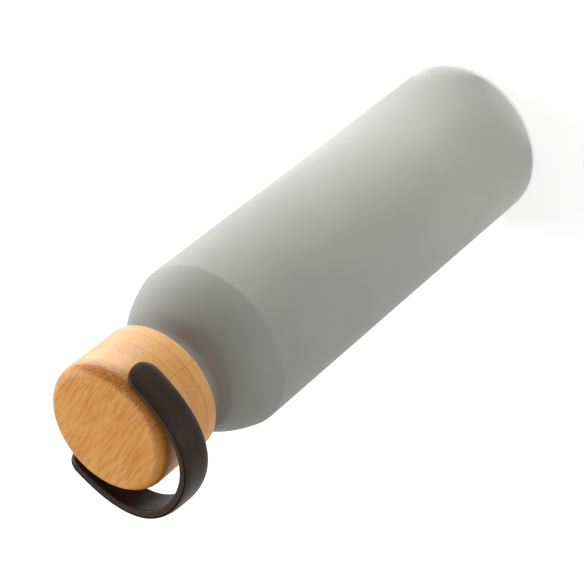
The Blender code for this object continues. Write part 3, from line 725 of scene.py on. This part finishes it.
def make_flask():
    bend = (FLASK_NECK_RADIUS + LIP_BEND_RADIUS, LIP_UNDERSIDE - LIP_BEND_RADIUS)
    corner = (FLASK_RADIUS - FLASK_CORNER_RADIUS, FLASK_BOTTOM + FLASK_CORNER_RADIUS)
    body_height = BODY_HEIGHT - FLASK_OFFSET * math.tan(SHOULDER_START_TILT / 2)
    top_height = SHOULDER_TOP - FLASK_OFFSET * math.sin(SHOULDER_END_TILT)
    profile = [(NECK_RADIUS, LIP_UNDERSIDE)]
    profile += arc(bend, LIP_BEND_RADIUS, math.pi / 2, math.pi, steps=6)
    profile += shoulder(FLASK_RADIUS, body_height, top_height, FLASK_NECK_RADIUS, FLASK_FILLET, steps=16)
    profile += arc(corner, FLASK_CORNER_RADIUS, 0.0, -math.pi / 2, steps=10)
    profile.append((0.0, FLASK_BOTTOM))
    flask = sheet_lathe("steel_flask", profile, FLASK_WALL)
    steel = turned_metal("steel_satin", srgb(205, 203, 199), srgb(176, 174, 170), rough=0.3)
    dress(flask, steel, "bottle", "inner_flask")


def make_base_cap():
    corner = (BASE_CAP_RADIUS - BASE_CAP_CORNER_RADIUS, BASE_CAP_CORNER_RADIUS)
    profile = [(BASE_CAP_RADIUS, BASE_CAP_HEIGHT)]
    profile += arc(corner, BASE_CAP_CORNER_RADIUS, 0.0, -math.pi / 2, steps=8)
    for step in range(BASE_BEAD_STEPS + 1):
        share = step / BASE_BEAD_STEPS
        radius = BASE_BEAD_RADIUS + BASE_BEAD_WIDTH * (1 / 2 - share)
        profile.append((radius, BASE_BEAD_DEPTH * math.sin(math.pi * share) ** 2))
    profile.append((0.0, 0.0))
    cap = sheet_lathe("pressed_base_cap", profile, BOTTOM_WALL)
    steel = turned_metal("steel_base", srgb(196, 194, 190), srgb(166, 164, 160), rough=0.36)
    dress(cap, steel, "bottle", "base_cap")


# Pieces of the lid


def make_lid():
    crest_drop = LID_EDGE_RADIUS * math.cos(LID_CREST_TILT)
    top_corner = (LID_RADIUS - LID_EDGE_RADIUS, LID_TOP - LID_CROWN - crest_drop)
    rim_corner = (LID_RADIUS - LID_RIM_ROUNDING, LID_BOTTOM + LID_RIM_ROUNDING)
    edge = arc(top_corner, LID_EDGE_RADIUS, math.pi / 2 - LID_CREST_TILT, 0.0, steps=18)
    shares = [i / LID_CROWN_STEPS for i in range(LID_CROWN_STEPS)]
    crown = [(edge[0][0] * share, LID_TOP - LID_CROWN * share**2) for share in shares]
    crest = rounded_corner(crown[-1], edge[0], edge[1], LID_CREST_RADIUS, steps=5)
    profile = crown + crest + edge[2:]
    profile += arc(rim_corner, LID_RIM_ROUNDING, 0.0, -math.pi / 2, steps=8)
    profile += [
        (LID_BORE + LID_BORE_EDGE, LID_BOTTOM),
        (LID_BORE, LID_BOTTOM + LID_BORE_EDGE),
        (LID_BORE, LID_BORE_TOP),
        (0.0, LID_BORE_TOP),
    ]
    lid = lathe("bamboo_cap", profile, BODY_SEGMENTS)
    bore_radius = SOCKET_RADIUS + FIT_GAP
    bore_end = SOCKET_OUTER_END - SOCKET_LENGTH - FIT_GAP
    bore = [
        (0.0, LID_RADIUS + CUT_MARGIN),
        (bore_radius, LID_RADIUS + CUT_MARGIN),
        (bore_radius, bore_end),
        (0.0, bore_end),
    ]
    bore_on_pivot(lid, bore)
    dress(lid, bamboo(), "lid", "bamboo_lid")


def make_insert():
    outer = [(INSERT_RADIUS - INSERT_EDGE, INSERT_TOP), (INSERT_RADIUS, INSERT_TOP - INSERT_EDGE)]
    spacing = (INSERT_TOP - INSERT_BOTTOM) / (GLUE_GROOVES + 1)
    for groove in range(GLUE_GROOVES):
        middle = INSERT_TOP - spacing * (groove + 1)
        deep = INSERT_RADIUS - GLUE_GROOVE_DEPTH
        outer += [
            (INSERT_RADIUS, middle + GLUE_GROOVE_WIDTH / 2),
            (deep, middle + GLUE_GROOVE_WIDTH / 4),
            (deep, middle - GLUE_GROOVE_WIDTH / 4),
            (INSERT_RADIUS, middle - GLUE_GROOVE_WIDTH / 2),
        ]
    inner = [
        (INSERT_RADIUS, INSERT_BOTTOM + INSERT_EDGE),
        (INSERT_RADIUS - INSERT_EDGE, INSERT_BOTTOM),
        (INSERT_BORE + INSERT_EDGE, INSERT_BOTTOM),
        (INSERT_BORE, INSERT_BOTTOM + INSERT_EDGE),
        (INSERT_BORE, CEILING),
        (BOSS_RADIUS, CEILING),
        (BOSS_RADIUS, BOSS_BOTTOM + INSERT_EDGE),
        (BOSS_RADIUS - INSERT_EDGE, BOSS_BOTTOM),
        (0.0, BOSS_BOTTOM),
    ]
    insert = lathe("moulded_insert", [(0.0, INSERT_TOP)] + outer + inner)
    phase = 1 / (2 * THREAD_STARTS)
    ridges = thread_ridges(INSERT_BORE, INSERT_CREST_RADIUS, THREAD_EMBED, phase, PIECE_SEGMENTS)
    combine(insert, ridges, "UNION")
    plastic = moulded("white_polypropylene", srgb(232, 230, 222), rough=0.4)
    dress(insert, plastic, "lid", "thread_insert")


def make_seal():
    edge = GASKET_EDGE
    profile = [
        (GASKET_BORE + edge, GASKET_TOP),
        (GASKET_RADIUS - edge, GASKET_TOP),
        (GASKET_RADIUS, GASKET_TOP - edge),
        (GASKET_RADIUS, GASKET_BOTTOM + edge),
        (GASKET_RADIUS - edge, GASKET_BOTTOM),
        (GASKET_BORE + edge, GASKET_BOTTOM),
        (GASKET_BORE, GASKET_BOTTOM + edge),
        (GASKET_BORE, GASKET_TOP - edge),
    ]
    ring = lathe("gasket_ring", profile, closed=True)
    milky, milkier = srgb(214, 214, 210), srgb(226, 226, 222)
    rubber = silicone("silicone_clear", milky, milkier, rough=0.42, transmission=0.35)
    dress(ring, rubber, "lid_seal", "gasket")

    corner = (LINER_RADIUS - LINER_CORNER_RADIUS, LINER_BOTTOM + LINER_CORNER_RADIUS)
    pan = [(LINER_RADIUS, CEILING - FIT_GAP)]
    pan += arc(corner, LINER_CORNER_RADIUS, 0.0, -math.pi / 2, steps=8)
    pan.append((0.0, LINER_BOTTOM))
    liner = sheet_lathe("liner_pan", pan, LINER_WALL)
    steel = turned_metal("steel_liner", srgb(210, 208, 204), srgb(184, 182, 178), rough=0.26)
    dress(liner, steel, "lid_seal", "liner_disc")


def make_studs():
    collar_start = LID_RADIUS + FIT_GAP
    collar_end = STRAP_INNER - FIT_GAP
    head_start = POCKET_START + FIT_GAP
    head_end = head_start + STUD_HEAD_HEIGHT
    shank_end = SOCKET_OUTER_END - STUD_SHANK_LENGTH
    profile = [
        (0.0, head_end),
        (STUD_HEAD_RADIUS - STUD_HEAD_EDGE, head_end),
        (STUD_HEAD_RADIUS, head_end - STUD_HEAD_EDGE),
        (STUD_HEAD_RADIUS, head_start),
        (STUD_NECK_RADIUS, head_start),
        (STUD_NECK_RADIUS, collar_end),
        (STUD_COLLAR_RADIUS - STUD_COLLAR_EDGE, collar_end),
        (STUD_COLLAR_RADIUS, collar_end - STUD_COLLAR_EDGE),
        (STUD_COLLAR_RADIUS, collar_start + STUD_COLLAR_EDGE),
        (STUD_COLLAR_RADIUS - STUD_COLLAR_EDGE, collar_start),
        (STUD_SHANK_RADIUS, collar_start),
        (STUD_SHANK_RADIUS, shank_end + STUD_SHANK_EDGE),
        (STUD_SHANK_RADIUS - STUD_SHANK_EDGE, shank_end),
        (0.0, shank_end),
    ]
    steel = turned_metal("steel_stud", srgb(202, 202, 202), srgb(176, 176, 176), rough=0.24, axis="X")
    for side, word in ((-1, "left"), (1, "right")):
        stud = lathe("headed_stud_" + word, profile, STUD_SEGMENTS, transform=on_pivot(side))
        dress(stud, steel, "lid", "pivot_stud_" + word)


# The strap


def strap_line():
    """The strap's centre line from tip to tip: points, directions to its outer side, and lengths."""
    bow = bezier(
        (STRAP_CENTRE, 0.0),
        (STRAP_CENTRE, STRAP_REACH * STRAP_SIDE_HANDLE_SHARE),
        (STRAP_CENTRE * STRAP_BOW_HANDLE_SHARE, STRAP_REACH),
        (0.0, STRAP_REACH),
        STRAP_SAMPLES,
    )
    half = [(STRAP_CENTRE, -STRAP_TIP)] + bow
    line = [Vector(p) for p in half + [(-x, reach) for x, reach in reversed(half[:-1])]]
    lengths = [0.0]
    for start, end in zip(line, line[1:]):
        lengths.append(lengths[-1] + (end - start).length)
    outward = []
    for i in range(len(line)):
        run = (line[min(i + 1, len(line) - 1)] - line[max(i - 1, 0)]).normalized()
        outward.append(Vector((run.y, -run.x)))
    return line, outward, lengths


def bent(line, outward, lengths, distance, out):
    """The place of a point of the flat strap once it is bent, in the strap's plane."""
    low, high = 0, len(lengths) - 1
    while high - low > 1:
        middle = (low + high) // 2
        if lengths[middle] <= distance:
            low = middle
        else:
            high = middle
    share = (distance - lengths[low]) / (lengths[high] - lengths[low])
    place = line[low].lerp(line[high], share)
    return place + outward[low].lerp(outward[high], share).normalized() * out


def strap_section():
    """The section from the inner face to the outer: inset from the outline, height over the mid plane."""
    half, width = STRAP_THICKNESS / 2, STRAP_WIDTH / 2
    edge, lip = STRAP_EDGE_ROUNDING, STRAP_LIP_ROUNDING
    section = [(width * share, -half) for share in STRAP_INNER_SHARES]
    section += arc((edge, edge - half), edge, -math.pi / 2, -math.pi, steps=6)
    rim = half - STRAP_CROWN
    groove = rim - lip - STRAP_GROOVE_WIDTH
    for deep, wide in STRAP_GROOVE_SHARES:
        section.append((STRAP_GROOVE_DEPTH * deep, groove + STRAP_GROOVE_WIDTH * wide))
    section.append((STRAP_LIP_INSET, rim - lip))
    section += arc((STRAP_LIP_INSET + lip, rim - lip), lip, math.pi, math.pi / 2, steps=6)
    start = STRAP_LIP_INSET + lip
    for share in STRAP_CROWN_SHARES:
        rise = STRAP_CROWN * (1 - (1 - share) ** STRAP_CROWN_FALL)
        section.append((start + (width - start) * share, rim + rise))
    return section


def strap_outline(length, radius):
    """Round the flat strap: place along it of each point's centre, and the direction from there."""
    outline = []
    for start, end, way in ((radius, length - radius, 1.0), (length - radius, radius, -1.0)):
        for i in range(STRAP_SIDE_POINTS):
            outline.append((start + (end - start) * i / STRAP_SIDE_POINTS, 0.0, way))
        for i in range(STRAP_END_POINTS):
            a = way * math.pi / 2 - math.pi * i / STRAP_END_POINTS
            outline.append((end, math.cos(a), math.sin(a)))
    return outline


def make_strap():
    line, outward, lengths = strap_line()
    length, radius = lengths[-1], STRAP_WIDTH / 2
    outline = strap_outline(length, radius)
    bm = bmesh.new()
    rings = []
    for inset, height in strap_section():
        ring = []
        for centre, dx, dy in outline:
            distance = min(max(centre + (radius - inset) * dx, 0.0), length)
            place = bent(line, outward, lengths, distance, height)
            ring.append(bm.verts.new((place.x, -place.y, (radius - inset) * dy)))
        rings.append(ring)
    join_rings(bm, rings)
    # The innermost ring on each face closes along the middle
    for ring in (rings[0], rings[-1]):
        bmesh.ops.remove_doubles(bm, verts=ring, dist=MERGE_DISTANCE)
    turn = Matrix.Translation((0.0, 0.0, PIVOT_HEIGHT)) @ Matrix.Rotation(-STRAP_REST_TILT, 4, "X")
    strap = new_object("carry_strap", bm, turn)
    hole, pocket = STUD_NECK_RADIUS + FIT_GAP, STUD_HEAD_RADIUS + FIT_GAP
    profile = [
        (0.0, POCKET_END),
        (pocket, POCKET_END),
        (pocket, POCKET_START),
        (hole, POCKET_START),
        (hole, STRAP_INNER - CUT_MARGIN),
        (0.0, STRAP_INNER - CUT_MARGIN),
    ]
    bore_on_pivot(strap, profile)
    dark = silicone("silicone_dark", srgb(47, 35, 25), srgb(53, 40, 29), rough=0.42, specular=0.12)
    dress(strap, dark, "strap", "strap")


def dress_hidden():
    """Better finishes for the sealed pieces, whose CAD shapes are right."""
    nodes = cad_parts
    steel = turned_metal("steel_bottom", srgb(198, 196, 192), srgb(168, 166, 162), rough=0.38)
    give(nodes["vacuum_bottom"], steel)
    give(nodes["seal_bead"], moulded("solder_glass", srgb(98, 98, 92), rough=0.22))
    powder = turned_metal("getter_metal", srgb(150, 150, 152), srgb(124, 124, 127), rough=0.5)
    give(nodes["getter"], powder)
    brass = turned_metal("brass_turned", srgb(220, 184, 112), srgb(190, 150, 82), rough=0.3, axis="X")
    for word in ("left", "right"):
        give(nodes["stud_socket_" + word], brass)


# Studio


def floor_paint():
    """White paint with a glow for the camera and reflections, clear from below."""
    paint = bpy.data.materials.new("floor_white")
    g = Nodes(paint)
    g.tree.nodes.clear()
    centre = g.node("ShaderNodeTexCoord").outputs["Object"]
    away = g.node("ShaderNodeVectorMath", {0: centre}, operation="LENGTH").outputs["Value"]
    level = g.times(g.seen(), g.ramp(away, GLOW_NEAR, GLOW_FAR, GLOW_BY_BOTTLE, 1.0))
    glow = g.node("ShaderNodeEmission", {"Strength": level}).outputs[0]
    diffuse = g.node("ShaderNodeBsdfDiffuse", {"Color": FLOOR_PAINT}).outputs[0]
    white = g.node("ShaderNodeAddShader", {0: diffuse, 1: glow}).outputs[0]
    clear = g.node("ShaderNodeBsdfTransparent").outputs[0]
    below = g.node("ShaderNodeNewGeometry").outputs["Backfacing"]
    side = g.node("ShaderNodeMixShader", {0: below, 1: white, 2: clear}).outputs[0]
    g.node("ShaderNodeOutputMaterial", {"Surface": side})
    return paint


def make_floor():
    bm = bmesh.new()
    bmesh.ops.create_grid(bm, x_segments=1, y_segments=1, size=FLOOR_REACH)
    mesh = bpy.data.meshes.new("floor")
    bm.to_mesh(mesh)
    bm.free()
    mesh.materials.append(floor_paint())
    floor = add_object("floor", mesh)
    floor.location.z = -FLOOR_GAP


def make_world():
    world = bpy.data.worlds.new("studio")
    bpy.context.scene.world = world
    g = Nodes(world)
    g.tree.nodes.clear()
    level = g.blend(g.seen(), WORLD_LEVEL, 1.0)
    white = {"Color": (1.0, 1.0, 1.0, 1.0), "Strength": level}
    back = g.node("ShaderNodeBackground", white).outputs[0]
    g.node("ShaderNodeOutputWorld", {"Surface": back})


def pose(obj, right, up, back, place):
    """Puts an object at a place, with its own axes in these directions."""
    turn = Matrix((right, up, back)).transposed().to_4x4()
    obj.matrix_world = Matrix.Translation(place) @ turn


def make_lamps():
    for name, azimuth, tilt, distance, height, size, power in LIGHTS:
        lamp = bpy.data.lights.new(name, "AREA")
        lamp.shape = "ELLIPSE" if distance < ROUND_LAMPS_WITHIN else "RECTANGLE"
        lamp.size, lamp.size_y = size
        lamp.energy = power
        obj = add_object(name, lamp)
        a, t = math.radians(azimuth), math.radians(tilt)
        across = Vector((-math.sin(a), math.cos(a), 0.0))
        back = Vector((math.cos(a) * math.cos(t), math.sin(a) * math.cos(t), -math.sin(t)))
        place = Vector((distance * math.cos(a), distance * math.sin(a), height))
        pose(obj, across, back.cross(across), back, place)
        obj.visible_camera = False


def make_camera():
    camera = bpy.data.cameras.new("camera")
    camera.lens = CAMERA_LENS
    camera.sensor_width = CAMERA_SENSOR
    camera.clip_start, camera.clip_end = CAMERA_CLIP
    obj = add_object("camera", camera)
    forward, up = Vector(CAMERA_FORWARD), Vector(CAMERA_UP)
    pose(obj, forward.cross(up), up, -forward, CAMERA_PLACE)
    bpy.context.scene.camera = obj


make_body()
make_flask()
make_base_cap()
make_lid()
make_insert()
make_seal()
make_studs()
make_strap()
dress_hidden()
make_floor()
make_world()
make_lamps()
make_camera()
bpy.context.scene.view_settings.view_transform = "Standard"
